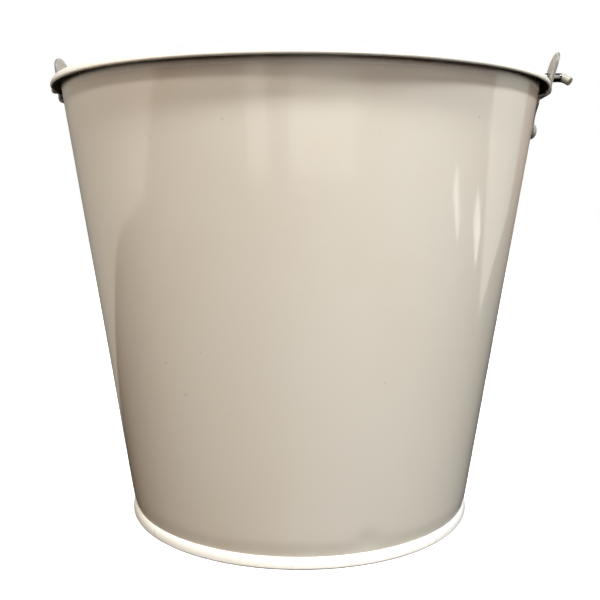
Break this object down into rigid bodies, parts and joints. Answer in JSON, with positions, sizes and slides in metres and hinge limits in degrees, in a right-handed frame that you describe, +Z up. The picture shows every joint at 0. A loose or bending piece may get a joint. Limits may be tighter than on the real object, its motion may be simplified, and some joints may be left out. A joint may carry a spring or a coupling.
{
  "type": "florist bucket",
  "caption": "Tapered sheet-steel bucket with a curled rim, a seamed-on base and a swinging wire bail, for holding cut flowers in water.",
  "frame": {"origin": "centre of the base, on the ground the bucket stands on", "axes": "+Z up along the bucket's axis; +X towards the right ear, so the bail's pivots lie on X; +Y to the back, where the wall's seam is and where the bail lies at rest"},
  "size_m": [0.3062, 0.28, 0.2665],
  "materials": {
    "enamel": "glossy cream stoving enamel on sheet steel, slight orange peel",
    "sealant": "matt seam compound"
  },
  "bodies": {
    "bucket": {"body_wall": "enamel", "base_pan": "enamel", "seam_sealant": "sealant", "ear_right": "enamel", "ear_left": "enamel", "rivet_right": "enamel", "rivet_left": "enamel"},
    "bail": {"bail_wire": "enamel"}
  },
  "joints": [
    {"name": "bail_swing", "type": "hinge", "parent": "bucket", "child": "bail", "pos_m": [0, 0, 0.2527], "axis": [1, 0, 0], "range_deg": [0, 178]}
  ]
}
